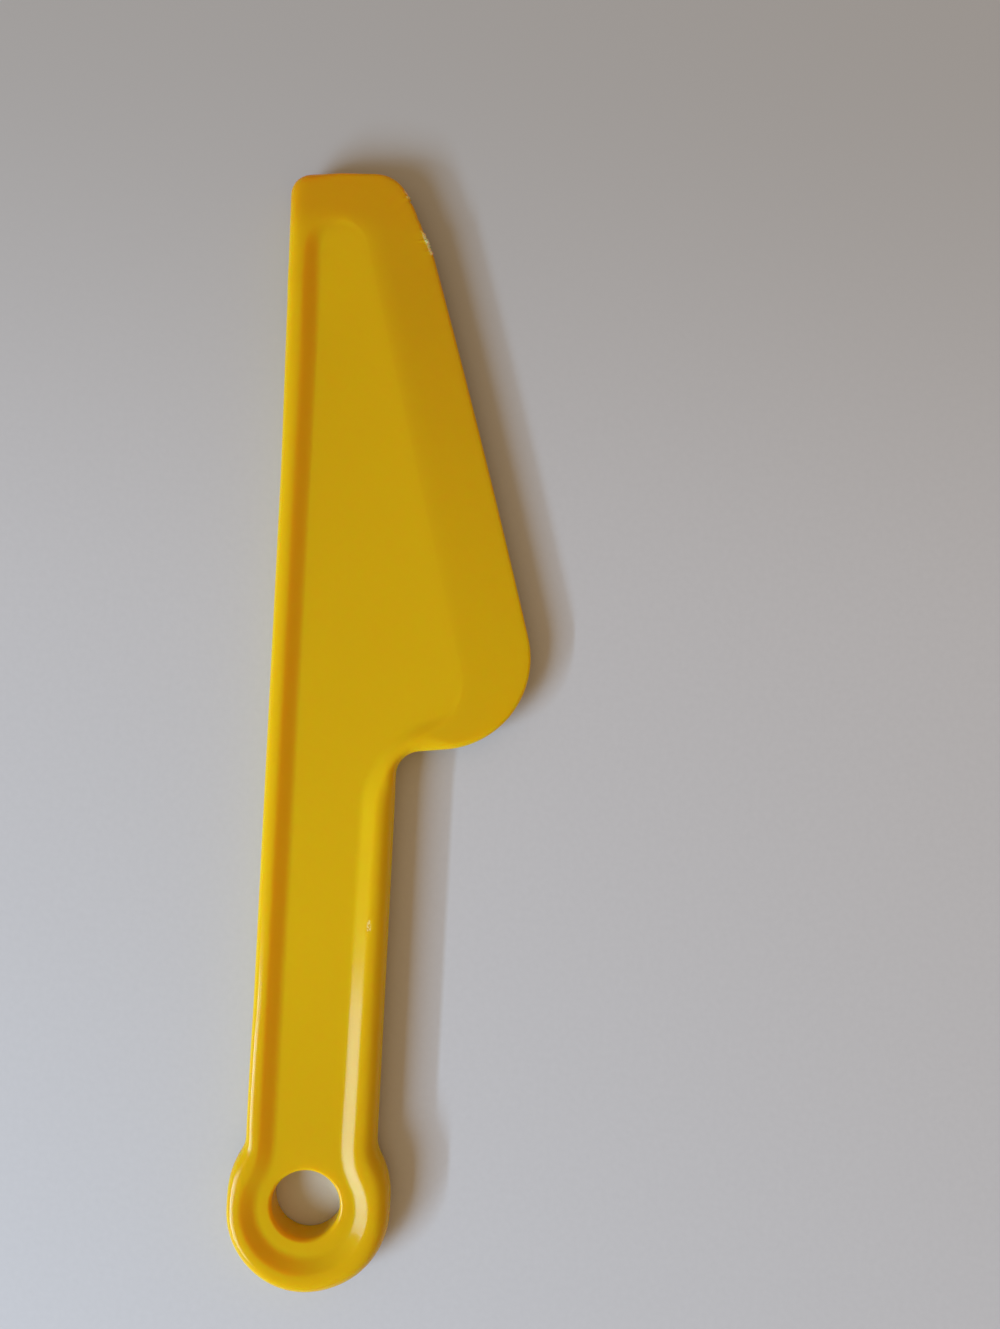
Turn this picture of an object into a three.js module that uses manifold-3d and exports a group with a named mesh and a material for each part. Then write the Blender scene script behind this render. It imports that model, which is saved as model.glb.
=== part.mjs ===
// Plastic cake spatula: a flat moulding with a hanging eye, a framed handle and a wedge-shaped blade.
// Millimetres, +Z up. +Y runs from the hanging eye to the tip, +X points to the cutting edge.
// The plan is drawn about the centre of the eye, and the finished group is moved onto its own middle.
import * as THREE from "three";
import { mergeVertices } from "three/addons/utils/BufferGeometryUtils.js";
import Module from "manifold-3d";

const wasm = await Module();
wasm.setup();

// Driving dimensions: the hanging eye and the handle
const holeDiameter = 16; // hanging hole
const holeShift = 1.2; // the hole's centre lies this far up the handle from the eye's centre
const collarWall = 1.2; // wall of the hole below the floor
const collarGap = 1.1; // from that wall to the rim, were the hole in the middle of the eye
const eyeSwell = 3.8; // how far the eye stands out past the handle on each side
const eyeBlendRadius = 15; // hollow blend from the handle's side into the eye

// Driving dimensions: the rim and the web
const rimWidth = 8;
const rimHeight = 8;
const restLand = 2; // flat strip that the rim rests on
const recessDepth = 1.4; // from the rim's crest down to the floor of the recess
const footPull = 1.6; // how far the rim's inner flank stays near the floor before it climbs
const crestPull = 2.6; // how far its round crest reaches back towards the recess
const webThickness = 2.6;

// Driving dimensions: the blade
const eyeToTip = 230; // from the eye's centre to the tip edge, along the middle of the handle
const eyeToHeel = 102.6; // from the eye's centre to where the heel's line meets the handle's side
const tipWidth = 26.2; // spine to cutting edge, straight across, where the eye-to-tip length ends
const tipAngle = THREE.MathUtils.degToRad(4); // the tip edge rises this much from spine to cutting edge
const edgeAngle = THREE.MathUtils.degToRad(16.9); // cutting edge against the spine
const heelAngle = THREE.MathUtils.degToRad(7); // heel's rise away from the handle
const heelRadius = 20;
const shoulderRadius = 5.5; // inside corner between handle and heel
const tipSpineRadius = 7;
const tipEdgeRadius = 12;
const tipBand = 11.4; // tip edge to the end of the recess
const recessCorner = 4;
const bevelAtTip = 14.2; // cutting edge to crease, straight across, at the end of the recess
const bevelAtHeel = 17.8; // the same at the height of the heel
const bevelAngle = THREE.MathUtils.degToRad(5.1); // fall of the bevel towards the cutting edge
const heelRunOut = 15; // length over which the rim's underside rises to the blade's underside

// How finely round stretches are drawn
const sectionSteps = 3; // per quarter of the rim's section
const eyeSteps = 44;
const shoulderSteps = 28;
const holeSteps = 48;
const planSteps = 16;

// Derived sizes
const rimHalf = rimWidth / 2;
const holeRadius = holeDiameter / 2;
const collarRadius = holeRadius + collarWall;
const eyeRadius = collarRadius + collarGap + rimWidth;
const handleHalf = eyeRadius - eyeSwell;
const webHalf = handleHalf - rimWidth;
const rimAxis = handleHalf - rimHalf;
const webTop = rimHeight - recessDepth;
const webBottom = webTop - webThickness;
const recessTip = eyeToTip - tipBand;
const eyeLead = rimHalf / 2; // short straight start of the handle before the eye's blends
const reach = 2 * (eyeToTip + eyeRadius); // longer than the whole part, for cutting blocks

function yellowPlastic() {
  return new THREE.MeshStandardMaterial({ color: "#dcb016", roughness: 0.35, metalness: 0 });
}

// A round stretch of the plan as a curve in space
class PlanArc extends THREE.Curve {
  constructor(centre, radius, startAngle, endAngle) {
    super();
    Object.assign(this, { centre, radius, startAngle, endAngle });
  }

  getPoint(t, target = new THREE.Vector3()) {
    const angle = THREE.MathUtils.lerp(this.startAngle, this.endAngle, t);
    const x = this.centre.x + this.radius * Math.cos(angle);
    const y = this.centre.y + this.radius * Math.sin(angle);
    return target.set(x, y, 0);
  }
}

function planLine(a, b) {
  return new THREE.LineCurve3(new THREE.Vector3(a.x, a.y, 0), new THREE.Vector3(b.x, b.y, 0));
}

const arcPoints = (centre, radius, startAngle, endAngle, steps = planSteps) =>
  new PlanArc(centre, radius, startAngle, endAngle).getPoints(steps).map((p) => new THREE.Vector2(p.x, p.y));

function chain(...curves) {
  const path = new THREE.CurvePath();
  curves.forEach((curve) => path.add(curve));
  return path;
}

// The point where two lines of the plan cross, each given by a point and a direction
function crossing(p, along, q, direction) {
  const between = new THREE.Vector2().subVectors(q, p);
  const t = between.cross(direction) / along.cross(direction);
  return p.clone().addScaledVector(along, t);
}

// Closed meshes to solids that can be cut, and back
function toSolid(geometry) {
  const bare = geometry.index ? geometry.toNonIndexed() : geometry.clone();
  bare.deleteAttribute("normal");
  bare.deleteAttribute("uv");
  const merged = mergeVertices(bare);
  const vertProperties = Float32Array.from(merged.attributes.position.array);
  const triVerts = Uint32Array.from(merged.index.array);
  return new wasm.Manifold(new wasm.Mesh({ numProp: 3, vertProperties, triVerts }));
}

function toGeometry(solid) {
  const mesh = solid.getMesh();
  const geometry = new THREE.BufferGeometry();
  geometry.setAttribute("position", new THREE.BufferAttribute(Float32Array.from(mesh.vertProperties), 3));
  geometry.setIndex(Array.from(mesh.triVerts));
  geometry.computeVertexNormals();
  return geometry;
}

// A flat plate: a plan outline with holes, between two heights
function plate(outline, bottom, top, holes = []) {
  const shape = new THREE.Shape(outline);
  shape.holes = holes.map((points) => new THREE.Path(points));
  const geometry = new THREE.ExtrudeGeometry(shape, { depth: top - bottom, bevelEnabled: false });
  return geometry.translate(0, 0, bottom);
}

// The rim's section: x points outwards from its middle line, y is the height above the table.
// The inner side is upright where the web joins it, and swells softly from the floor up to the crest.
function rimSection() {
  const middle = rimHeight / 2;
  const landHalf = restLand / 2;
  const outline = new THREE.Path();
  outline.moveTo(-rimHalf, webBottom);
  outline.lineTo(-rimHalf, webTop);
  outline.bezierCurveTo(-rimHalf + footPull, webTop, -crestPull, rimHeight, 0, rimHeight);
  outline.absellipse(0, middle, rimHalf, middle, Math.PI / 2, 0, true);
  outline.absellipse(landHalf, middle, rimHalf - landHalf, middle, 0, -Math.PI / 2, true);
  outline.lineTo(-landHalf, 0);
  outline.absellipse(-landHalf, webBottom, rimHalf - landHalf, webBottom, -Math.PI / 2, -Math.PI, true);
  // A path carries the section with x downwards and y to its left, which is the outside all the way round
  return new THREE.Shape(outline.getPoints(sectionSteps).map((p) => new THREE.Vector2(-p.y, p.x)));
}

const sweepRim = (path, steps) => new THREE.ExtrudeGeometry(rimSection(), { extrudePath: path, steps });

// Points along a rim, set off from its middle line: positive is outwards
function rimEdge(path, steps, offset) {
  const outwards = path.computeFrenetFrames(steps, false).binormals;
  const points = path.getSpacedPoints(steps).map((p, i) => p.addScaledVector(outwards[i], offset));
  return points.map((p) => new THREE.Vector2(p.x, p.y));
}

// Plan of the hanging eye: the rim comes down the handle's right side, round the eye and up the left side
const eyeCentre = new THREE.Vector2(0, 0);
const blendX = handleHalf + eyeBlendRadius;
const blendY = Math.sqrt((eyeRadius + eyeBlendRadius) ** 2 - blendX ** 2);
const blendAngle = Math.atan2(blendY, blendX);
const eyeTop = blendY + eyeLead; // where the eye's rim meets the straight rims of the handle
const blendPath = eyeBlendRadius + rimHalf;
const eyePath = chain(
  planLine({ x: rimAxis, y: eyeTop }, { x: rimAxis, y: blendY }),
  new PlanArc(new THREE.Vector2(blendX, blendY), blendPath, Math.PI, Math.PI + blendAngle),
  new PlanArc(eyeCentre, eyeRadius - rimHalf, blendAngle, -Math.PI - blendAngle),
  new PlanArc(new THREE.Vector2(-blendX, blendY), blendPath, -blendAngle, 0),
  planLine({ x: -rimAxis, y: blendY }, { x: -rimAxis, y: eyeTop }),
);

// Plan of the blade: the cutting edge, the heel and the crease of the bevel
const edgeDown = new THREE.Vector2(Math.sin(edgeAngle), -Math.cos(edgeAngle));
const edgeInwards = new THREE.Vector2(-Math.cos(edgeAngle), -Math.sin(edgeAngle));
const edgeTop = new THREE.Vector2(tipWidth - handleHalf, eyeToTip);
const edgeX = (y) => edgeTop.x + (eyeToTip - y) * Math.tan(edgeAngle);
const tipAlong = new THREE.Vector2(Math.cos(tipAngle), Math.sin(tipAngle));
const tipInwards = new THREE.Vector2(Math.sin(tipAngle), -Math.cos(tipAngle));
const tipMiddle = new THREE.Vector2(0, eyeToTip);
const tipY = (x) => eyeToTip + x * Math.tan(tipAngle);
const heelAlong = new THREE.Vector2(Math.cos(heelAngle), Math.sin(heelAngle));
const heelInwards = new THREE.Vector2(-Math.sin(heelAngle), Math.cos(heelAngle));
const heelCorner = new THREE.Vector2(handleHalf, eyeToHeel);
const heelCentre = crossing(
  edgeTop.clone().addScaledVector(edgeInwards, heelRadius),
  edgeDown,
  heelCorner.clone().addScaledVector(heelInwards, heelRadius),
  heelAlong,
);
const creaseTop = new THREE.Vector2(edgeX(recessTip) - bevelAtTip, recessTip);
const creaseFoot = new THREE.Vector2(edgeX(eyeToHeel) - bevelAtHeel, eyeToHeel);
const creaseDown = new THREE.Vector2().subVectors(creaseFoot, creaseTop).normalize();

// The crease ends where it runs into the heel's rim, on a circle about the heel's centre
const toHeelCentre = new THREE.Vector2().subVectors(heelCentre, creaseTop);
const besideCrease = toHeelCentre.cross(creaseDown);
const halfChord = Math.sqrt((heelRadius - rimWidth) ** 2 - besideCrease ** 2);
const creaseEnd = creaseTop.clone().addScaledVector(creaseDown, toHeelCentre.dot(creaseDown) + halfChord);
const rimEndAngle = new THREE.Vector2().subVectors(creaseEnd, heelCentre).angle() - 2 * Math.PI;

// The shoulder's rim starts at the end of the crease, follows the heel and turns down into the handle
const heelPathRadius = heelRadius - rimHalf;
const heelLineAngle = heelAngle - Math.PI / 2;
const shoulderCentre = heelCorner.clone();
shoulderCentre.addScaledVector(heelAlong, shoulderRadius / Math.cos(heelAngle));
shoulderCentre.y -= shoulderRadius / Math.cos(heelAngle);
const shoulderPathRadius = shoulderRadius + rimHalf;
const handleTop = shoulderCentre.y - eyeLead;
const heelArc = new PlanArc(heelCentre, heelPathRadius, rimEndAngle, heelLineAngle);
const shoulderArc = new PlanArc(shoulderCentre, shoulderPathRadius, Math.PI / 2 + heelAngle, Math.PI);
const shoulderPath = chain(
  heelArc,
  planLine(heelArc.getPoint(1), shoulderArc.getPoint(0)),
  shoulderArc,
  planLine({ x: rimAxis, y: shoulderCentre.y }, { x: rimAxis, y: handleTop }),
);
const shoulderInner = rimEdge(shoulderPath, shoulderSteps, -rimHalf);
const shoulderOuterEnd = rimEdge(shoulderPath, shoulderSteps, rimHalf)[0];
const panelCorner = shoulderInner[0];

// The end of the recess at the tip, from the spine's rim to the top of the crease
const recessCornerCentre = new THREE.Vector2(-webHalf + recessCorner, recessTip - recessCorner);
const recessEnd = [...arcPoints(recessCornerCentre, recessCorner, Math.PI, Math.PI / 2), creaseTop];

// The bevel plane: level with the floor along the crease, rising to the spine and falling to the edge
function underBevelPlane() {
  const across = new THREE.Vector2(-creaseDown.y, creaseDown.x);
  const rise = reach * Math.tan(bevelAngle);
  const profile = new THREE.Shape();
  profile.moveTo(-reach, -reach);
  profile.lineTo(reach, -reach);
  profile.lineTo(reach, webTop - rise);
  profile.lineTo(-reach, webTop + rise);
  const block = new THREE.ExtrudeGeometry(profile, { depth: 2 * reach, bevelEnabled: false });
  block.translate(0, 0, -reach);
  const right = new THREE.Vector3(across.x, across.y, 0);
  const up = new THREE.Vector3(0, 0, 1);
  const place = new THREE.Matrix4().makeBasis(right, up, new THREE.Vector3().crossVectors(right, up));
  place.setPosition(creaseTop.x, creaseTop.y, 0);
  return toSolid(block.applyMatrix4(place));
}

// The space above the heel's run-out: the rim's underside climbs to the underside of the blade
function aboveRunOut() {
  const runOutEnd = panelCorner.x;
  const slope = webBottom / heelRunOut;
  const profile = new THREE.Shape();
  profile.moveTo(-reach, -rimHeight);
  profile.lineTo(runOutEnd - (webBottom + rimHeight) / slope, -rimHeight);
  profile.lineTo(runOutEnd, webBottom);
  profile.lineTo(reach, webBottom);
  profile.lineTo(reach, 2 * rimHeight);
  profile.lineTo(-reach, 2 * rimHeight);
  const block = new THREE.ExtrudeGeometry(profile, { depth: 2 * reach, bevelEnabled: false });
  return toSolid(block.translate(0, 0, -reach).rotateX(Math.PI / 2));
}

// Room for the spine's rim: rounded at the tip's corner, open everywhere else
function insideTipCorner() {
  const corner = crossing(
    new THREE.Vector2(-handleHalf + tipSpineRadius, 0),
    new THREE.Vector2(0, 1),
    tipMiddle.clone().addScaledVector(tipInwards, tipSpineRadius),
    tipAlong,
  );
  const outline = [
    new THREE.Vector2(-webHalf + rimHalf, eyeTop - reach),
    new THREE.Vector2(-webHalf + rimHalf, tipY(-webHalf + rimHalf)),
    ...arcPoints(corner, tipSpineRadius, Math.PI / 2 + tipAngle, Math.PI),
    new THREE.Vector2(-reach, corner.y),
    new THREE.Vector2(-reach, eyeTop - reach),
  ];
  return toSolid(plate(outline, -rimHeight, 2 * rimHeight));
}

function spineRim() {
  const path = planLine({ x: -rimAxis, y: eyeTop }, { x: -rimAxis, y: eyeToTip });
  return toGeometry(toSolid(sweepRim(path, 1)).intersect(insideTipCorner()));
}

function hangingEyeRim() {
  return sweepRim(eyePath, eyeSteps);
}

function handleRim() {
  return sweepRim(planLine({ x: rimAxis, y: handleTop }, { x: rimAxis, y: eyeTop }), 1);
}

function shoulderRim() {
  const swept = toSolid(sweepRim(shoulderPath, shoulderSteps));
  return toGeometry(swept.intersect(underBevelPlane()).intersect(aboveRunOut()));
}

function hangingEyeFloor() {
  const hole = arcPoints(new THREE.Vector2(0, holeShift), holeRadius, 0, 2 * Math.PI, holeSteps).slice(1);
  return plate(rimEdge(eyePath, eyeSteps, -rimHalf), webBottom, webTop, [hole]);
}

function hangingHoleCollar() {
  const profile = [
    new THREE.Vector2(holeRadius, 0),
    new THREE.Vector2(collarRadius, 0),
    new THREE.Vector2(collarRadius, webBottom),
    new THREE.Vector2(holeRadius, webBottom),
    new THREE.Vector2(holeRadius, 0),
  ];
  const collar = new THREE.LatheGeometry(profile, holeSteps).rotateX(Math.PI / 2);
  return collar.translate(0, holeShift, 0);
}

function handleWeb() {
  const outline = [
    new THREE.Vector2(-webHalf, eyeTop),
    new THREE.Vector2(webHalf, eyeTop),
    new THREE.Vector2(webHalf, handleTop),
    new THREE.Vector2(-webHalf, handleTop),
  ];
  return plate(outline, webBottom, webTop);
}

function bladePanel() {
  const outline = [new THREE.Vector2(-webHalf, handleTop), ...recessEnd, ...shoulderInner];
  return plate(outline, webBottom, webTop);
}

// The rounding of the tip's corner at the cutting edge: the bevel and the tip part where it begins
const tipCornerCentre = crossing(
  edgeTop.clone().addScaledVector(edgeInwards, tipEdgeRadius),
  edgeDown,
  tipMiddle.clone().addScaledVector(tipInwards, tipEdgeRadius),
  tipAlong,
);
const tipCorner = arcPoints(tipCornerCentre, tipEdgeRadius, edgeAngle, Math.PI / 2 + tipAngle);

function cuttingBevel() {
  const heel = arcPoints(heelCentre, heelRadius, rimEndAngle, edgeAngle).slice(1);
  const outline = [creaseTop, panelCorner, shoulderOuterEnd, ...heel, tipCorner[0]];
  return toGeometry(toSolid(plate(outline, webBottom, rimHeight)).intersect(underBevelPlane()));
}

function tipLand() {
  const outline = [new THREE.Vector2(-webHalf, tipY(-webHalf)), ...recessEnd, ...tipCorner];
  return toGeometry(toSolid(plate(outline, webBottom, rimHeight)).intersect(underBevelPlane()));
}

const regions = {
  spine_rim: spineRim,
  hanging_eye_rim: hangingEyeRim,
  handle_rim: handleRim,
  shoulder_rim: shoulderRim,
  hanging_eye_floor: hangingEyeFloor,
  hanging_hole_collar: hangingHoleCollar,
  handle_web: handleWeb,
  blade_panel: bladePanel,
  cutting_bevel: cuttingBevel,
  tip_land: tipLand,
};

const group = new THREE.Group();
for (const [name, shapeRegion] of Object.entries(regions)) {
  const mesh = new THREE.Mesh(shapeRegion(), yellowPlastic());
  mesh.name = name;
  group.add(mesh);
}

// The origin is the middle of the part's footprint, on the table
const box = new THREE.Box3().setFromObject(group);
const middle = box.getCenter(new THREE.Vector3());
group.position.set(-middle.x, -middle.y, -box.min.z);

export default group;
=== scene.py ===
# %% [markdown]
# # A yellow plastic cake spatula
# The real tool is one injection moulding: a wedge-shaped blade, a framed handle and a hanging eye, all shot
# from the same yellow plastic. The frame that we load divides it into ten regions, so we could dress each
# region by itself. But then every region would end in a seam that the real tool doesn't have. So we model
# one seamless skin over all of them, and let it stand for the ten.

# %% Load the frame and keep its box
import math
import random

import bmesh
import bpy
import numpy as np
from mathutils import Matrix, Vector


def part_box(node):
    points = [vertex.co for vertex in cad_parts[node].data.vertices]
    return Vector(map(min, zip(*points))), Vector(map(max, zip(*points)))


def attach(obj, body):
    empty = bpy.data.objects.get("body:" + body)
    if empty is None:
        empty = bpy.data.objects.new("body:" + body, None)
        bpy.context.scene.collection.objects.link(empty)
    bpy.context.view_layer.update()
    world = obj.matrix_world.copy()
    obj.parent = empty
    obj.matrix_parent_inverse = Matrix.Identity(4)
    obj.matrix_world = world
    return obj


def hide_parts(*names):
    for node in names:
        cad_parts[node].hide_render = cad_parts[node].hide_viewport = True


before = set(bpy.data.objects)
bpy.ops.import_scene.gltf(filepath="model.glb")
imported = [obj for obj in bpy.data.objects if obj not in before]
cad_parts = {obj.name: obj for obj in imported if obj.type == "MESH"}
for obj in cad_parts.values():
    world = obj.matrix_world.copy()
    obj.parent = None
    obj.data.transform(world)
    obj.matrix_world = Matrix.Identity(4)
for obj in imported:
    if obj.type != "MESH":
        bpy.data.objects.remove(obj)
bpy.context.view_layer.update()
print("regions in the frame:", sorted(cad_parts))

# %% [markdown]
# ## What the frame already knows
# A moulding has few sizes that matter: how wide the handle is, how high its round rim stands and how thick
# the web between the rims is. We could type them in again, but two copies of a size drift apart. So they
# are read from the boxes of the regions. What a box can't tell, such as the place of a corner, is named
# further down, where it is first needed.

# %% Read the main sizes
MM = 0.001
eye_low, eye_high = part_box("hanging_eye_rim")
web_low, web_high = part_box("handle_web")
side_low, side_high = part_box("handle_rim")

eye_inset = 0.25 * MM
eye_box_radius = (eye_high.x - eye_low.x) / 2
eye = Vector((eye_low.x + eye_box_radius, eye_low.y + eye_box_radius))
eye_radius = eye_box_radius - eye_inset
handle_half = side_high.x - eye.x
web_half = web_high.x - eye.x
rim_half = (side_high.x - side_low.x) / 2
rim_height = side_high.z
floor_z = web_high.z
under_z = web_low.z
foot_round = 0.8 * MM
pocket_half = web_half + foot_round
print(f"handle {2000 * handle_half:.1f} mm wide, rim {1000 * rim_height:.1f} mm high")
print(f"web from {1000 * under_z:.1f} to {1000 * floor_z:.1f} mm above the table")

# %% [markdown]
# ## The plan, as two lines
# Seen from above, the tool is two closed lines. The outer one is its outline. The inner one is the edge of
# the shallow pocket that runs from the eye to the tip. Both are made of straight strokes and round strokes,
# as on a drawing board, and they are drawn side by side: each row of the walk below is one stroke of each
# line, in the same number of steps. So every step of one line has a partner on the other, and a section of
# the plastic can be stretched between the two.

# %% Helpers for corners of the plan
def plan(x, y):
    """A point of the plan, from the eye's centre: +y towards the tip, +x towards the cutting edge."""
    return Vector((eye.x + x, eye.y + y))


def heading(degrees):
    """A direction of the plan, in degrees from +x towards +y."""
    return Vector((math.cos(math.radians(degrees)), math.sin(math.radians(degrees))))


def crossing(p, along, q, other):
    """Where the line through p with heading along meets the line through q with heading other."""
    a = heading(along)
    b = heading(other)
    reach = (q - p).cross(b) / a.cross(b)
    return p + reach * a


class Corner:
    """A rounded corner between two headings: where its arc starts, its centre, its turn and its end."""

    def __init__(self, point, before, after, radius):
        self.turn = (after - before + 180) % 360 - 180
        run = radius * math.tan(math.radians(abs(self.turn) / 2))
        side = 90 if self.turn > 0 else -90
        self.start = point - run * heading(before)
        self.end = point + run * heading(after)
        self.centre = self.start + radius * heading(before + side)


print(f"the eye's centre is {-1000 * eye.y:.1f} mm from the middle of the tool")

# %% The outline's corners
heel_rise = 7
edge_heading = 90 + 16.9
snip_heading = 90 + 37
tip_heading = 180 + 3.5
flare_heading = 270.85

heel_foot = plan(handle_half, 102.2 * MM)
trim_low = plan(16.75 * MM, 213.2 * MM)
trim_high = plan(10.6 * MM, 225.9 * MM)
tip_left = plan(-handle_half - 0.95 * MM, 229.0 * MM)
flare_foot = crossing(tip_left, flare_heading, plan(-handle_half, 0), 90)
heel_point = crossing(heel_foot, heel_rise, trim_low, edge_heading)
tip_right = crossing(trim_high, snip_heading, tip_left, tip_heading)

shoulder = Corner(heel_foot, 90, heel_rise, radius=5.5 * MM)
heel = Corner(heel_point, heel_rise, edge_heading, radius=20.3 * MM)
tip_corner = Corner(tip_right, snip_heading, tip_heading, radius=7.5 * MM)
spine_corner = Corner(tip_left, tip_heading, flare_heading, radius=4.8 * MM)
print(f"the spine flares over its last {1000 * (tip_left - flare_foot).length:.0f} mm")

# %% The cutting edge, which is not quite straight
edge_bulge = 0.4 * MM
edge_chord = trim_low - heel.end
edge_radius = edge_chord.length_squared / (8 * edge_bulge)
edge_turn = 2 * math.degrees(math.asin(edge_chord.length / (2 * edge_radius)))
edge_middle = heel.end + edge_chord / 2
to_edge_centre = heading(edge_heading + 90)
edge_centre = edge_middle + edge_radius * math.cos(math.radians(edge_turn / 2)) * to_edge_centre
print(f"the cutting edge bends {edge_turn:.2f} degrees over {1000 * edge_chord.length:.0f} mm")

# %% The pocket's corners
pocket_heel_heading = 22
crease_heading = 90 + 15.3
pocket_heel_foot = plan(pocket_half, 103.8 * MM)
crease_foot = plan(27.2 * MM, 123.65 * MM)
pocket_heel_point = crossing(pocket_heel_foot, pocket_heel_heading, crease_foot, crease_heading)
groove_top = plan(-pocket_half - 1.1 * MM, 214.6 * MM)
groove_bend = plan(-pocket_half - 0.5 * MM, 190 * MM)
pocket_tip_point = crossing(crease_foot, crease_heading, groove_top, 90)

pocket_shoulder = Corner(pocket_heel_foot, 90, pocket_heel_heading, radius=21 * MM)
pocket_heel = Corner(pocket_heel_point, pocket_heel_heading, crease_heading, radius=9.5 * MM)
pocket_tip = Corner(pocket_tip_point, crease_heading, 270, radius=5.5 * MM)
print(f"the crease runs {1000 * (pocket_tip.start - pocket_heel.end).length:.0f} mm")

# %% The neck of the hanging eye
eye_top = plan(0, 3.4 * MM)
blend_radius = 9 * MM
pocket_radius = 11 * MM
pocket_centre = plan(-0.6 * MM, 0.9 * MM)
pocket_blend_radius = 20 * MM
pocket_right = pocket_half - 0.7 * MM
pocket_left = pocket_half + 0.8 * MM


def neck(side, half, round_centre, round_radius, hollow_radius):
    """One side of a neck: where its hollow blend starts, the blend's centre and the angle that it turns."""
    start_x = eye.x + side * half
    centre_x = start_x + side * hollow_radius
    across = abs(centre_x - round_centre.x)
    along = math.sqrt((round_radius + hollow_radius) ** 2 - across**2)
    y = round_centre.y + along
    return Vector((start_x, y)), Vector((centre_x, y)), math.degrees(math.atan2(along, across))


outline_start, right_neck, right_turn = neck(1, handle_half, eye_top, eye_radius, blend_radius)
outline_left, left_neck, left_turn = neck(-1, handle_half, eye_top, eye_radius, blend_radius)
pocket_shape = (pocket_centre, pocket_radius, pocket_blend_radius)
pocket_start, right_pocket_neck, right_pocket_turn = neck(1, pocket_right, *pocket_shape)
pocket_end, left_pocket_neck, left_pocket_turn = neck(-1, pocket_left, *pocket_shape)
print(f"the neck turns {right_turn:.1f} degrees outside")
print(f"inside it turns {left_pocket_turn:.1f} on the left, {right_pocket_turn:.1f} on the right")

# %% How the strokes share the pocket's round corners, in degrees
shoulder_foot = 24
shoulder_rest = pocket_shoulder.turn + shoulder_foot
by_trim = 30
by_snip = 15
by_tip_corner = 25
by_tip_edge = 55
by_spine_corner = pocket_tip.turn - (by_trim + by_snip + by_tip_corner + by_tip_edge)
eye_side = 10
eye_bottom = 180 - 2 * eye_side
print(f"the pocket's tip turns {pocket_tip.turn:.1f} degrees, the last {by_spine_corner:.1f} by the spine")

# %% The walk round both lines
handle_top = Vector((outline_start.x, pocket_shoulder.start.y))
eye_left = plan(-eye_radius, 0)
eye_right = eye_top + Vector((eye_radius, 0))

# Columns of a row. A straight stroke is its end, a round one its centre and the degrees that it turns.
TITLE = 0
STEPS = 1
OUTLINE = 2
POCKET = 3
walk = [
    ("handle side", 150, (handle_top,), (pocket_shoulder.start,)),
    ("below the shoulder", 12, (shoulder.start,), (pocket_shoulder.centre, -shoulder_foot)),
    ("shoulder", 20, (shoulder.centre, shoulder.turn), (pocket_shoulder.centre, shoulder_rest)),
    ("heel", 8, (heel.start,), (pocket_heel.start,)),
    ("heel corner", 44, (heel.centre, heel.turn), (pocket_heel.centre, pocket_heel.turn)),
    ("cutting edge", 90, (edge_centre, edge_turn), (pocket_tip.start,)),
    ("trimmed edge", 90, (trim_high,), (pocket_tip.centre, by_trim)),
    ("snipped corner", 16, (tip_corner.start,), (pocket_tip.centre, by_snip)),
    ("tip corner", 14, (tip_corner.centre, tip_corner.turn), (pocket_tip.centre, by_tip_corner)),
    ("tip edge", 20, (spine_corner.start,), (pocket_tip.centre, by_tip_edge)),
    ("spine corner", 18, (spine_corner.centre, spine_corner.turn), (pocket_tip.centre, by_spine_corner)),
    ("spine by the tip", 36, (flare_foot,), (groove_bend,)),
    ("spine", 140, (outline_left,), (pocket_end,)),
    ("left of the neck", 16, (left_neck, -left_turn), (left_pocket_neck, -left_pocket_turn)),
    ("eye, upper left", 20, (eye_top, left_turn), (pocket_centre, left_pocket_turn)),
    ("eye, left side", 6, (eye_left,), (pocket_centre, eye_side)),
    ("eye, bottom", 68, (eye, 180), (pocket_centre, eye_bottom)),
    ("eye, right side", 6, (eye_right,), (pocket_centre, eye_side)),
    ("eye, upper right", 20, (eye_top, right_turn), (pocket_centre, right_pocket_turn)),
    ("right of the neck", 16, (right_neck, -right_turn), (right_pocket_neck, -right_pocket_turn)),
]
print(f"{len(walk)} strokes, {sum(row[STEPS] for row in walk)} steps")

# %% [markdown]
# ## Drawing with one vertex
# A line like this could be typed as a list of points, or traced with a curve. Drawing it with a single
# vertex is closer to the drawing board: a plane is merged into one point, extruding that point draws a
# straight stroke, and spinning it about a centre draws a round one. What was drawn last stays selected, so
# the next stroke carries on from there. The pocket's line is only measured and then deleted. The outline
# stays, and grows into the skin.

# %% Draw a stroke
def pencil(name, point):
    """A new mesh with one vertex, at a point of the plan, in edit mode."""
    bpy.ops.object.select_all(action="DESELECT")
    bpy.ops.mesh.primitive_plane_add(size=MM, location=(point.x, point.y, 0))
    line = bpy.context.object
    line.name = name
    bpy.ops.object.transform_apply(location=True)
    bpy.ops.object.mode_set(mode="EDIT")
    bpy.context.tool_settings.mesh_select_mode = (True, False, False)
    bpy.ops.mesh.select_all(action="SELECT")
    bpy.ops.mesh.merge(type="CENTER")
    return line


def draw(start, stroke, steps):
    """Draws one stroke from the selected vertex, and returns where it ends."""
    if len(stroke) == 1:
        step = (stroke[0] - start) / steps
        for _ in range(steps):
            bpy.ops.mesh.extrude_region_move(TRANSFORM_OT_translate={"value": (step.x, step.y, 0)})
        return stroke[0]
    centre, turn = stroke
    angle = math.radians(turn)
    bpy.ops.mesh.spin(steps=steps, angle=angle, center=(centre.x, centre.y, 0), axis=(0, 0, -1))
    arm = start - centre
    turned_x = arm.x * math.cos(angle) - arm.y * math.sin(angle)
    turned_y = arm.x * math.sin(angle) + arm.y * math.cos(angle)
    return centre + Vector((turned_x, turned_y))


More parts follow.
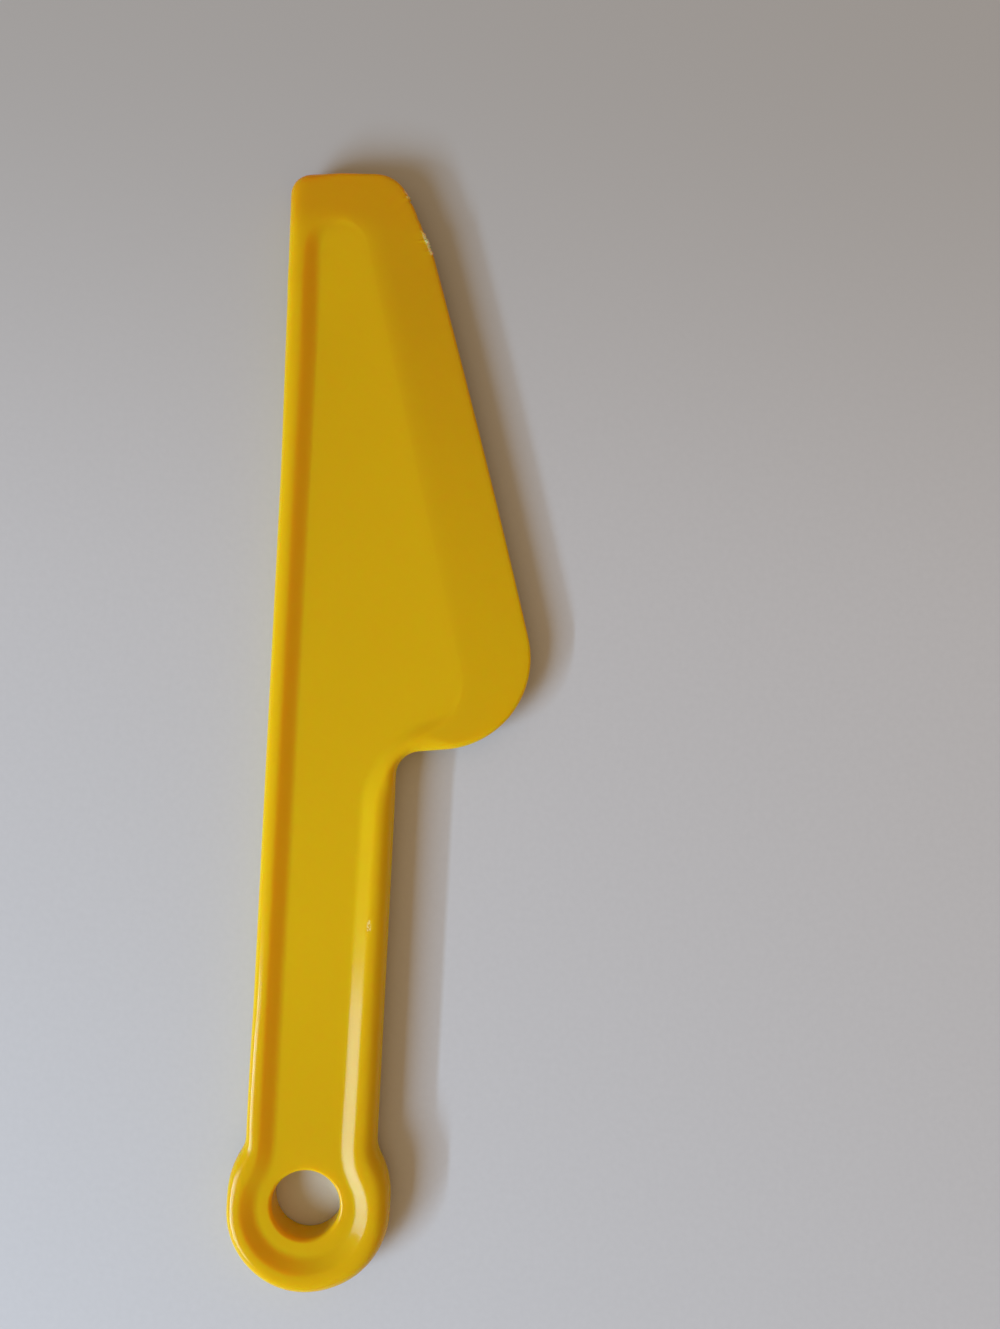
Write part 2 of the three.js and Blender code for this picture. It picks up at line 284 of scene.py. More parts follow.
# %% Draw both lines
closing_gap = 0.01 * MM


def in_order(drawn):
    """The vertices of an open line, from the end that was drawn first."""
    vertex = next(v for v in drawn.verts if len(v.link_edges) == 1 and not v.select)
    order = [vertex]
    edge = None
    while len(order) < len(drawn.verts):
        edge = next(e for e in vertex.link_edges if e is not edge)
        vertex = edge.other_vert(vertex)
        order.append(vertex)
    return order


def draw_line(name, start, column):
    """Draws one column of the walk, numbers its stations and closes it. Returns the line and its points."""
    line = pencil(name, start)
    pen = start
    for row in walk:
        pen = draw(pen, row[column], row[STEPS])
    drawn = bmesh.from_edit_mesh(line.data)
    station = drawn.verts.layers.int.new("station")
    points = []
    for index, vertex in enumerate(in_order(drawn)):
        vertex[station] = index % (len(drawn.verts) - 1)
        points.append(vertex.co[:2])
    bpy.ops.mesh.select_all(action="SELECT")
    bpy.ops.mesh.remove_doubles(threshold=closing_gap)
    print(f"{name}: {len(points) - 1} stations, closed to {1e6 * (pen - start).length:.3f} micrometres")
    return line, np.array(points[:-1])


_, pocket = draw_line("pocket_line", pocket_start, POCKET)
bpy.ops.object.mode_set(mode="OBJECT")
bpy.ops.object.delete()
moulding, outline = draw_line("spatula_moulding", outline_start, OUTLINE)

# %% [markdown]
# ## How high the plastic stands
# Looked at in section, the tool is simple. From the outline the plastic rises in a round rim, and from the
# rim's crest it comes down to the flat floor of the pocket. Over the blade a second surface cuts this off:
# the bevel, a plane that meets the floor along the crease, rises towards the spine and falls to the cutting
# edge. The top is the lower of the two, with the joins rubbed soft as a polished mould leaves them, and the
# outer edge is rounded off. So the height at any point follows from two distances, to the outline and to
# the pocket's edge.

# %% Distances in the plan
def distance_to(line, points, batch=500):
    """Distance of each point to the nearest stroke of a closed line, worked out batch by batch."""
    along = np.roll(line, -1, axis=0) - line
    length_squared = (along**2).sum(axis=1)
    nearest = np.full(len(points), np.inf)
    for begin in range(0, len(points), batch):
        some = points[begin : begin + batch, None, :] - line[None]
        share = np.clip((some * along).sum(axis=2) / length_squared, 0, 1)
        gap = some - share[..., None] * along
        nearest[begin : begin + batch] = np.sqrt((gap**2).sum(axis=2)).min(axis=1)
    return nearest


def soft_min(a, b, width):
    """The lower of two heights, with the join rounded where they differ by less than the width."""
    near = np.clip(width - abs(a - b), 0, None) / width
    return np.minimum(a, b) - near**2 * width / 4


def smooth(value, low, high):
    """A soft step, from 0 where the value is at low to 1 where it is at high."""
    share = np.clip((value - low) / (high - low), 0, 1)
    return share * share * (3 - 2 * share)


rim_widths = 1000 * distance_to(pocket, outline)
print(f"from the outline to the pocket it is {rim_widths.min():.1f} to {rim_widths.max():.1f} mm")

# %% The surfaces of the top
bevel_angle = 5.1
bevel_slope = math.tan(math.radians(bevel_angle))
crease_side = heading(crease_heading + 90)
crease_round = 0.12 * MM
crest_round = 1.0 * MM
rim_run = 3.7 * MM
flank_run = rim_run - crest_round / 2
flank_slope = (rim_height - floor_z) / flank_run


def bevel(points):
    """Height of the bevel plane, which is level with the floor along the crease."""
    return floor_z + bevel_slope * ((points - np.array(crease_foot)) @ np.array(crease_side))


def rim_inside(outside_pocket):
    """From the pocket's edge, at zero, up a straight flank to the rim's round crest."""
    rise = np.clip(outside_pocket, 0, None)
    in_fillet = abs(outside_pocket) < foot_round
    rise = np.where(in_fillet, (outside_pocket + foot_round) ** 2 / (4 * foot_round), rise)
    to_crest = np.clip(rim_run - outside_pocket, 0, crest_round)
    flat_crest = flank_run - to_crest**2 / (2 * crest_round)
    rise = np.where(to_crest < crest_round, flat_crest, rise)
    return floor_z + flank_slope * rise


def edge_drop(inside_outline, reach, depth, fullness):
    """How far a round edge falls below its crest, from nothing at its reach to its depth at the outline.

    A fullness of 2 makes it a quarter of an ellipse, and more makes it squarer.
    """
    left = 1 - np.clip(inside_outline / reach, 0, 1)
    return depth * (1 - (1 - left**fullness) ** (1 / fullness))


print(f"the rim's flank rises at {math.degrees(math.atan(flank_slope)):.1f} degrees")

# %% [markdown]
# ## Wear from use
# The corner of the tip was trimmed with a blade, and not cleanly: the cut wanders by a tenth of a
# millimetre, and two short burrs stand out of it. The right rim has a nick from a knock. All three could be
# painted on, but a highlight gives a painted dent away. So the cut is worn into the outline itself, and the
# nick is pressed into the rings further down. The seed makes the wear come out the same on every run.

# %% Wear the trimmed edge
# Every station carries the title of its stroke
stretch = np.array([row[TITLE] for row in walk for _ in range(row[STEPS])])
trimmed = np.flatnonzero(stretch == "trimmed edge")
wear_seed = 7
wear = random.Random(wear_seed)
wander = 0.1 * MM
fine_share = 0.5
slow_steps = 9

jitter = np.array([wear.uniform(-1, 1) for _ in trimmed])
slow = np.convolve(jitter, np.ones(slow_steps) / math.sqrt(slow_steps), mode="same")
pushed = wander * (fine_share * jitter + slow)
print(f"{len(trimmed)} stations along the cut")

# %% Raise the two burrs
burr = 0.3 * MM
burrs = ((0, 0.4), (0.92, 1))
burr_push = 0.6
burr_ragged = 0.4
burr_lift = 0.8
burr_wavy = 0.5

cut_share = np.linspace(0, 1, len(trimmed))
on_burr = np.zeros(len(trimmed))
for begin, end in burrs:
    on_burr[(cut_share > begin) & (cut_share < end)] = 1
pushed += burr * on_burr * (burr_push + burr_ragged * jitter)
burr_rise = np.zeros(len(outline))
burr_rise[trimmed] = burr * on_burr * (burr_lift + burr_wavy * slow)

cut = trim_high - trim_low
trim_out = heading(math.degrees(math.atan2(cut.y, cut.x)) - 90)
outline[trimmed] += pushed[:, None] * np.array(trim_out)
print(f"the cut wanders from {1000 * pushed.min():.2f} to {1000 * pushed.max():.2f} mm")

# %% [markdown]
# ## From a thick rim to a thin edge
# Along the handle and the spine the outline is a round rim that stands on the table. Along the blade it is
# a thin edge, held off the table. Two separate sections could be modelled and bridged, but the place where
# one turns into the other would show. So every station gets its own share of thinness, from 0 to 1, and the
# sizes of its section are blended by that share.

# %% How thin every station is
thin_stretches = ["cutting edge", "trimmed edge", "snipped corner", "tip corner"]
heel_thins = (handle_half - 2 * MM, 28 * MM)
tip_thins = (-handle_half + 1.5 * MM, -3 * MM)

inwards = pocket - outline
width = np.sqrt((inwards**2).sum(axis=1))
inwards = inwards / width[:, None]
from_eye = outline[:, 0] - eye.x

on_heel = np.isin(stretch, ["shoulder", "heel", "heel corner"])
on_tip = np.isin(stretch, ["tip edge", "spine corner"])
thinness = np.isin(stretch, thin_stretches).astype(float)
thinness = np.where(on_heel, smooth(from_eye, *heel_thins), thinness)
thinness = np.where(on_tip, smooth(from_eye, *tip_thins), thinness)
print(f"{np.count_nonzero(thinness == 1)} stations are thin, {np.count_nonzero(thinness == 0)} are thick")

# %% How the edge is rounded at every station
smallest_round = 2.4 * MM
largest_round = 3.6 * MM
lip_starts = (handle_half, handle_half + 4 * MM)
lip_ends = (28 * MM, 22 * MM)
lip_stretch = 0.7
quarter_circle = 2
spine_fullness = 0.75
towards_spine = (8 * MM, -8 * MM)

crest = soft_min(bevel(outline), rim_height, crease_round)
lowest = thinness * under_z
edge_round = np.clip(width - rim_run, smallest_round, largest_round)
radius = (1 - thinness) * edge_round + thinness * (crest - under_z) / 2
middle = crest - radius
on_lip = on_heel * smooth(from_eye, *lip_starts) * smooth(from_eye, *lip_ends)
reach = radius * (1 + lip_stretch * on_lip)
fullness = quarter_circle + spine_fullness * smooth(from_eye, *towards_spine)
print(f"the edge is {1000 * (crest - lowest)[thinness == 1].min():.2f} mm thick where it is thinnest")

# %% [markdown]
# ## Rings from the outline to the pocket
# The skin could be sculpted, or cut from a block, but a glossy surface shows every dent. A loft is cleaner:
# the outline is extruded inwards again and again, and each new ring is laid at its own height. Rings lie
# close together where the section bends and far apart where it is flat. The same is done downwards for the
# side that lies on the table, which nobody sees in the photograph: there the rim gets the flat strip that
# it rests on.

# %% How far inwards the rings of the top lie
round_rings = 9
flank_rings = 8
foot_rings = 6
widest_round = 0.55
floor_reach = 0.5 * MM
floor_shares = (0.33, 0.66, 1)


def quarter_turn(count):
    """Evenly spread angles from 0 to 90 degrees."""
    return np.radians(np.linspace(0, 90, count))


round_angles = quarter_turn(round_rings + 1)[1:]
round_reach = np.minimum(reach, widest_round * width)
near_foot = np.minimum(width / (handle_half - pocket_half), 1) * foot_round
flank_end = width - near_foot

top_steps = [round_reach * (1 - math.cos(angle)) for angle in round_angles]
for share in np.linspace(0, 1, flank_rings + 1)[1:]:
    top_steps.append(round_reach + share * (flank_end - round_reach))
for share in np.linspace(-1, 1, foot_rings + 1)[1:]:
    top_steps.append(width + share * near_foot)
for share in floor_shares:
    top_steps.append(width + near_foot + share * floor_reach)
print(f"the last ring lies {1000 * top_steps[-1].min():.1f} to {1000 * top_steps[-1].max():.1f} mm inwards")

# %% How high the rings of the top lie
burr_inside = 0.35 * MM
burr_width = 0.25 * MM
nick = plan(10.5 * MM, 64.0 * MM)
nick_half = np.array([0.5, 1.7]) * MM
nick_depth = 0.25 * MM
nick_lip = 0.4
dent_falloff = 2
lip_falloff = 0.7


def nick_press(points):
    """How far the nick is pressed in: a dent with a raised lip around it."""
    away = (((points - np.array(nick)) / nick_half) ** 2).sum(axis=1)
    dent = (1 + nick_lip) * np.exp(-dent_falloff * away)
    raised = nick_lip * np.exp(-lip_falloff * away)
    return nick_depth * (dent - raised)


def top_ring(steps):
    """The points of a ring that lies so many steps inwards of the outline."""
    points = outline + steps[:, None] * inwards
    inside = distance_to(outline, points)
    beyond = distance_to(pocket, points) * np.sign(width - steps)
    height = soft_min(rim_inside(beyond), bevel(points), crease_round)
    height -= edge_drop(inside, reach, radius, fullness)
    on_ridge = np.exp(-(((inside - burr_inside) / burr_width) ** 2))
    height += burr_rise * on_ridge - nick_press(points)
    height = np.minimum(height, rim_height)
    return np.column_stack([points, height])


top_rings = [top_ring(steps) for steps in top_steps]
print(f"{len(top_rings)} rings on top, highest point {1000 * max(r[:, 2].max() for r in top_rings):.2f} mm")

# %% Where the rings of the underside lie
rest_land = 2 * MM
inner_rings = 8
web_steps = (0.3 * MM, 1.0 * MM)
low_round = (1 - thinness) * (rim_half - rest_land / 2) + thinness * (middle - under_z)
low_width = 2 * rim_half
low_inner = low_width - low_round - rest_land


def under_ring(steps, height):
    """The points of a ring that lies so many steps inwards of the outline, at a height."""
    return np.column_stack([outline + steps[:, None] * inwards, height])


under_rings = []
for angle in round_angles:
    steps = low_round * (1 - math.cos(angle))
    under_rings.append(under_ring(steps, middle - (middle - lowest) * math.sin(angle)))
for angle in quarter_turn(inner_rings):
    steps = low_round + rest_land + low_inner * math.sin(angle)
    under_rings.append(under_ring(steps, under_z - (under_z - lowest) * math.cos(angle)))
for web_step in web_steps:
    steps = np.full(len(outline), low_width + web_step)
    under_rings.append(under_ring(steps, np.full(len(outline), under_z)))
print(f"{len(under_rings)} rings below")

# %% Helpers that select and lay a ring
def select_rings(mesh, *numbers):
    """Selects all the vertices of some rings, and the edges between them."""
    drawn = bmesh.from_edit_mesh(mesh)
    ring = drawn.verts.layers.int["ring"]
    bpy.ops.mesh.select_all(action="DESELECT")
    for vertex in drawn.verts:
        vertex.select = vertex[ring] in numbers
    for edge in drawn.edges:
        edge.select = all(vertex.select for vertex in edge.verts)
    bmesh.update_edit_mesh(mesh)


def lay_ring(mesh, number, points=None):
    """Numbers the selected vertices as a ring, and puts them where the stations say if points are given."""
    drawn = bmesh.from_edit_mesh(mesh)
    station = drawn.verts.layers.int["station"]
    ring = drawn.verts.layers.int["ring"]
    for vertex in drawn.verts:
        if vertex.select:
            vertex[ring] = number
            if points is not None:
                vertex.co = points[vertex[station]]
    bmesh.update_edit_mesh(mesh)


# %% Extrude the rings
skin = moulding.data
bmesh.from_edit_mesh(skin).verts.layers.int.new("ring")
bpy.ops.mesh.select_all(action="SELECT")
lay_ring(skin, 0, np.column_stack([outline, middle]))
number = 0
ends = []
for rings in (top_rings, under_rings):
    select_rings(skin, 0)
    for points in rings:
        number += 1
        bpy.ops.mesh.extrude_edges_move()
        lay_ring(skin, number, points)
    ends.append(number)
floor_end, under_end = ends
print(f"{len(bmesh.from_edit_mesh(skin).faces)} faces after {number} rings")

# %% [markdown]
# ## The hanging hole
# The hole's wall is a short tube that reaches from the floor of the eye right down to the table, with a
# soft lip at both ends. It could be cut with a Boolean, but that leaves ragged faces around a lip. So a
# circle is added in the same mesh and extruded through the wall's section: down the outside, round the foot
# and up the inside. Then each flat face is one fill between two loops: the last ring of the skin, and the
# lip or the foot of the tube.

# %% The section of the hole's wall
hole_radius = 7.55 * MM
hole_centre = plan(-0.55 * MM, 1.5 * MM)
wall = 1.2 * MM
lip = 0.9 * MM
lip_points = 7
foot_lip = 0.45 * MM
foot_points = 5
fillet = 0.6 * MM
fillet_middle = 0.15 * MM
wall_shares = (0.35, 0.7)

wall_section = [
    # Distance outwards from the hole's radius, height above the table
    (wall + fillet, under_z),
    (wall + fillet_middle, under_z - fillet_middle),
    (wall, under_z - fillet),
]
for angle in quarter_turn(foot_points):
    wall_section.append((wall - foot_lip * (1 - math.cos(angle)), foot_lip * (1 - math.sin(angle))))
for angle in reversed(quarter_turn(foot_points)):
    wall_section.append((foot_lip * (1 - math.cos(angle)), foot_lip * (1 - math.sin(angle))))
for share in wall_shares:
    wall_section.append((0, share * floor_z))
for angle in quarter_turn(lip_points):
    wall_section.append((lip * (1 - math.cos(angle)), floor_z - lip * (1 - math.sin(angle))))
print(f"{len(wall_section)} rings in the hole's wall")

# %% Turn the wall
hole_steps = 96
out, level = wall_section[0]
bpy.ops.mesh.select_all(action="DESELECT")
bpy.ops.mesh.primitive_circle_add(
    vertices=hole_steps, radius=hole_radius + out, location=(hole_centre.x, hole_centre.y, level)
)
foot_ring = number + 1
lip_ring = number + len(wall_section)
lay_ring(skin, foot_ring)
for next_ring, (next_out, next_level) in enumerate(wall_section[1:], foot_ring + 1):
    bpy.ops.mesh.extrude_edges_move(TRANSFORM_OT_translate={"value": (0, 0, next_level - level)})
    grow = (hole_radius + next_out) / (hole_radius + out)
    pivot = (hole_centre.x, hole_centre.y, next_level)
    bpy.ops.transform.resize(value=(grow, grow, 1), center_override=pivot)
    lay_ring(skin, next_ring)
    out = next_out
    level = next_level
print(f"{len(bmesh.from_edit_mesh(skin).faces)} faces with the wall")

# %% Fill the flat faces and close the skin
for loops in ((floor_end, lip_ring), (under_end, foot_ring)):
    select_rings(skin, *loops)
    bpy.ops.mesh.fill(use_beauty=True)
bpy.ops.mesh.select_all(action="SELECT")
bpy.ops.mesh.normals_make_consistent(inside=False)
drawn = bmesh.from_edit_mesh(skin)
open_edges = sum(not edge.is_manifold for edge in drawn.edges)
print(f"{len(drawn.faces)} faces, {open_edges} open edges, {1e9 * drawn.calc_volume():.0f} cubic mm")
bpy.ops.object.mode_set(mode="OBJECT")
bpy.ops.object.shade_smooth()
for helper in ("station", "ring"):
    skin.attributes.remove(skin.attributes[helper])

# %% [markdown]
# ## Shader sums in plain Python
# A node tree is hard to read as code when every sum is three lines of links. So one small class stands for
# a socket: adding or multiplying two of them adds a Math node, and one method adds any other kind of node.
# Three short methods on top of it are for the nodes that come back all the time: a soft step, a mix of two
# colours and a cloudy noise.

# %% A socket that can be added and multiplied
class Wire:
    """An output of a shader node. Sums and products of wires become Math nodes."""

    def __init__(self, tree, socket=None):
        self.tree = tree
        self.socket = socket

    def node(self, kind, settings=None, inputs=None, output=0):
        """Adds a node with its settings first, then the values or wires of its inputs."""
        made = self.tree.nodes.new("ShaderNode" + kind)
        for name, value in (settings or {}).items():
            setattr(made, name, value)
        for name, value in (inputs or {}).items():
            if isinstance(value, Wire):
                self.tree.links.new(value.socket, made.inputs[name])
            else:
                made.inputs[name].default_value = value
        return Wire(self.tree, made.outputs[output] if made.outputs else None)

    def math(self, operation, *values):
        """A Math node on values or wires."""
        return self.node("Math", {"operation": operation}, dict(enumerate(values)))

    def split(self):
        """The three coordinates of a vector, as three wires."""
        made = self.node("SeparateXYZ", inputs={"Vector": self}).socket.node
        return [Wire(self.tree, socket) for socket in made.outputs]

    def ramp(self, low, high):
        """A soft step, from 0 where this wire is at low to 1 where it is at high."""
        limits = {"Value": self, "From Min": low, "From Max": high}
        return self.node("MapRange", {"interpolation_type": "SMOOTHSTEP"}, limits)

    def mix(self, first, second):
        """The first colour where this wire is 0, and the second where it is 1."""
        # A Mix node's sockets share their names, so they go by number
        return self.node("Mix", {"data_type": "RGBA"}, {0: self, 6: first, 7: second}, output=2)

    def noise(self, scale, detail=2):
        """A cloudy pattern over the places that this wire gives, from 0 to 1."""
        return self.node("TexNoise", inputs={"Vector": self, "Scale": scale, "Detail": detail})

    def __add__(self, other):
        return self.math("ADD", self, other)

    def __sub__(self, other):
        return self.math("SUBTRACT", self, other)

    def __rsub__(self, other):
        return self.math("SUBTRACT", other, self)

    def __mul__(self, other):
        return self.math("MULTIPLY", self, other)

    __radd__ = __add__
    __rmul__ = __mul__


# %% Colours and empty materials
def linear(red, green, blue):
    """A colour as a paint program gives it, 0 to 255, as the light that the shader works with (sRGB)."""
    shares = [value / 255 for value in (red, green, blue)]
    light = [s / 12.92 if s <= 0.04045 else ((s + 0.055) / 1.055) ** 2.4 for s in shares]
    return (*light, 1)


def new_material(name):
    """A material with an empty node tree, and a wire to start from."""
    material = bpy.data.materials.new(name)
    material.use_nodes = True
    material.node_tree.nodes.clear()
    return material, Wire(material.node_tree)


print(f"a paint program's grey of 128 is {linear(128, 128, 128)[0]:.3f} of full light")

# %% [markdown]
# ## Yellow plastic
# The pigment goes right through the plastic, and light wanders a few millimetres in it before it comes out
# again: red light furthest, blue light hardly at all. A plain yellow coat of paint would look like enamel.
# So the shader scatters light below the surface, and three things change the yellow from place to place. It
# gets deeper towards the eye and towards the tip, most of all on the thin bevel. Faint clouds run through
# it, as in much dyed plastic. And along the spine, slopes that face away from the lamps get a more orange
# base colour: this is painted shade, which stands in for light that came a long way through the plastic.

# %% Where a point of the surface lies
to_tip = Vector((0, 1))
to_edge = Vector((1, 0))


def offset(place, point, direction):
    """Distance of a place on the surface from a point of the plan, measured along a direction."""
    x, y, _ = place.split()
    return x * direction.x + y * direction.y - point.dot(direction)


print(f"the bevel falls towards {-crease_side.x:.2f}, {-crease_side.y:.2f}")

# %% The yellow from place to place, and painted shade on the spine
handle_run = (0, 70 * MM)
blade_run = (-100 * MM, 0)
bevel_run = (-2 * MM, 5 * MM)
tip_run = (0, 8 * MM)
# Painted shade: the next three values find the spine's slopes that face away from the lamps
spine_run = (4 * MM, -4 * MM)
painted_shade_run = (0.02, 0.3)
away_from_window = 0.7
cloud_share = 0.15
# How much painted orange shade those slopes get
painted_shade_share = 0.45

yellow_by_eye = linear(216, 174, 13)
yellow_by_blade = linear(225, 185, 15)
yellow_by_tip = linear(222, 180, 13)
bevel_by_heel = linear(226, 185, 13)
bevel_by_tip = linear(214, 165, 13)
tip_yellow = linear(215, 161, 12)
cloud_yellow = linear(232, 194, 20)
# The orange of the painted shade on the spine
painted_shade_orange = linear(240, 163, 13)


def yellow_with_painted_shade(place, cloud, facing):
    """The colour of the plastic without wear, at a place of the surface that faces some way, with painted
    orange shade on the spine.
    """
    along_handle = offset(place, eye, to_tip).ramp(*handle_run)
    along_blade = offset(place, groove_top, to_tip).ramp(*blade_run)
    on_bevel = offset(place, crease_foot, -crease_side).ramp(*bevel_run)
    past_groove = offset(place, groove_top, to_tip).ramp(*tip_run)
    handle_yellow = along_handle.mix(yellow_by_eye, yellow_by_blade)
    thick_yellow = along_blade.mix(handle_yellow, yellow_by_tip)
    thin_yellow = along_blade.mix(bevel_by_heel, bevel_by_tip)
    colour = past_groove.mix(on_bevel.mix(thick_yellow, thin_yellow), tip_yellow)
    colour = (cloud_share * cloud).mix(colour, cloud_yellow)
    # Painted shade: slopes of the spine that face away from the lamps are mixed towards orange, for light
    # scattered through the plastic
    facing_x, facing_y, _ = facing.split()
    on_left = offset(place, eye, to_edge).ramp(*spine_run)
    in_painted_shade = on_left * (away_from_window * (facing_x + facing_y)).ramp(*painted_shade_run)
    return (painted_shade_share * in_painted_shade).mix(colour, painted_shade_orange)


print(f"the yellow changes over {1000 * handle_run[1]:.0f} mm of the handle")

# %% [markdown]
# ## Whitened wear
# Bent or torn plastic turns white, because tiny cracks in it scatter the light. It shows on the two burrs
# of the trimmed corner and in the nick. The white could be painted by hand into an image, but the places
# are known from the shape. So masks are worked out from the same values as the shape, and a fine noise
# breaks the white up into flakes.

# %% Where the plastic has turned white
flake_scale = 1400
cut_flakes = (0.34, 0.5)
nick_flakes = (0.42, 0.58)
low_burr_starts = (-0.4 * MM, 0.2 * MM)
low_burr_ends = (0.45 * cut.length, 0.25 * cut.length)
high_burr_starts = (0.9 * cut.length, cut.length)
high_burr_ends = (cut.length + 2 * MM, cut.length)
high_burr_share = 0.8
cut_depth = (-0.8 * MM, -0.35 * MM)
nick_spread = (1.1, 0.3)
nick_share = 0.8


def whitening(place):
    """How white the plastic is, from 0 to 1."""
    flakes = place.noise(flake_scale)
    along_cut = offset(place, trim_low, cut.normalized())
    on_low_burr = along_cut.ramp(*low_burr_starts) * along_cut.ramp(*low_burr_ends)
    on_high_burr = along_cut.ramp(*high_burr_starts) * along_cut.ramp(*high_burr_ends)
    at_cut = offset(place, trim_low, trim_out).ramp(*cut_depth)
    on_cut = at_cut * (on_low_burr + high_burr_share * on_high_burr) * flakes.ramp(*cut_flakes)

    across_nick = offset(place, nick, to_edge) * (1 / nick_half[0])
    along_nick = offset(place, nick, to_tip) * (1 / nick_half[1])
    in_nick = (across_nick * across_nick + along_nick * along_nick).ramp(*nick_spread)
    _, _, height = place.split()
    on_nick = nick_share * (in_nick * flakes.ramp(*nick_flakes)) * height.ramp(under_z, floor_z)
    return place.math("MAXIMUM", on_cut, on_nick)


print(f"the cut is {1000 * cut.length:.1f} mm long")

# %% Mix the plastic and put it on the skin
cloud_scale = 22
grain_scale = 900
white_share = 0.85
worn_white = linear(246, 234, 186)
polish = 0.11
cloud_roughness = 0.06
worn_roughness = 0.4


def yellow_plastic():
    """Polished plastic that scatters light, with painted orange shade on the spine, and the wear whitened
    and roughened.
    """
    material, wire = new_material("yellow_plastic")
    place = wire.node("TexCoord", output="Object")
    facing = wire.node("TexCoord", output="Normal")
    cloud = place.noise(cloud_scale)
    white = whitening(place)
    colour = (white_share * white).mix(yellow_with_painted_shade(place, cloud, facing), worn_white)
    grain = {"Strength": 0.02, "Distance": 0.0002, "Height": place.noise(grain_scale)}
    shader = wire.node(
        "BsdfPrincipled",
        inputs={
            "Base Color": colour,
            "Roughness": polish + cloud_roughness * cloud + worn_roughness * white,
            "Normal": wire.node("Bump", inputs=grain),
            "IOR": 1.49,
            "Specular IOR Level": 0.15,
            "Subsurface Weight": 1,
            "Subsurface Radius": (1, 0.4, 0.05),
            "Subsurface Scale": 3 * MM,
        },
    )
    wire.node("OutputMaterial", inputs={"Surface": shader})
    return material


moulding.data.materials.append(yellow_plastic())
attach(moulding, "root")
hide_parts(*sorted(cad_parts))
print("the skin stands for", len(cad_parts), "regions")

# %% [markdown]
# ## A floor of pale paper
# The tool lies on pale paper, which takes its shadow. A plane is enough for that, and its colour darkens
# towards the far side, as painted shade for the weaker light there. It lies a hair below the table's
# height, so that it never fights with the strip that the rim rests on. A real sheet ends somewhere, but a
# floor that ends would draw a line through the other views. So this one fades out far from the tool, and
# the backdrop takes over.

# %% Lay the floor
floor_size = 6
floor_gap = 0.02 * MM
fibre_scale = 700
dark_fibre = linear(195, 193, 195)
pale_fibre = linear(201, 199, 201)
# Painted shade: the paper darkens towards the far side, for light that is weaker there
far_paper_painted_shade = linear(181, 179, 179)
paper_shade_run = (20 * MM, 170 * MM)
# Squared distances from the middle, in square metres: where the floor is gone, and where it is whole
fade_run = (0.45, 0.09)

bpy.ops.object.select_all(action="DESELECT")
bpy.ops.mesh.primitive_plane_add(size=floor_size, location=(0, 0, -floor_gap))
paper = bpy.context.object
paper.name = "paper_floor"


def pale_paper():
    """Paper with fine fibres, with painted shade that darkens it towards the far side, and gone in the
    distance.
    """
    material, wire = new_material("pale_paper")
    place = wire.node("TexCoord", output="Object")
    x, y, _ = place.split()
    near_colour = place.noise(fibre_scale, detail=3).mix(dark_fibre, pale_fibre)
    colour = y.ramp(*paper_shade_run).mix(near_colour, far_paper_painted_shade)
    whole = (x * x + y * y).ramp(*fade_run)
    shader = wire.node("BsdfPrincipled", inputs={"Base Color": colour, "Roughness": 0.85, "Alpha": whole})
    wire.node("OutputMaterial", inputs={"Surface": shader})
    return material


paper.data.materials.append(pale_paper())
print(f"the floor fades out {math.sqrt(fade_run[1]):.1f} to {math.sqrt(fade_run[0]):.1f} m from the middle")

# %% [markdown]
# ## Light from the left
# The shadow falls to the right and gets softer with distance, and a bright line runs along the slopes that
# face left. A sun lamp would make that shadow hard, and a point lamp would shrink the line to a dot. So two
# area lamps stand on the left, long and parallel to the handle, as a window is: a tall one that makes the
# soft shadow, and a narrow, low one that makes the crisp part of it and the bright line.

# %% Hang the lamps
daylight = (0.55, 0.765, 1.0)
lamp_reach = 1
lamp_start = -0.355


def side_light(name, elevation, spread, length, power):
    """A lamp on the left, parallel to the handle, that looks down at the table."""
    rise = math.radians(elevation)
    away = Vector((-math.cos(rise), 0, math.sin(rise)))
    along = Vector((0, lamp_start - length / 2, 0))
    bpy.ops.object.light_add(type="AREA", location=lamp_reach * away + along)
    lamp = bpy.context.object
    lamp.name = name
    lamp.data.shape = "RECTANGLE"
    lamp.data.size = length
    lamp.data.size_y = 2 * lamp_reach * math.tan(math.radians(spread))
    lamp.data.energy = power
    lamp.data.color = daylight
    across = Vector((0, 1, 0))
    lamp.rotation_euler = Matrix((across, away.cross(across), away)).transposed().to_euler()
    print(f"{name}: {lamp.data.size:.2f} m long, {lamp.data.size_y:.2f} m high, {power} W")


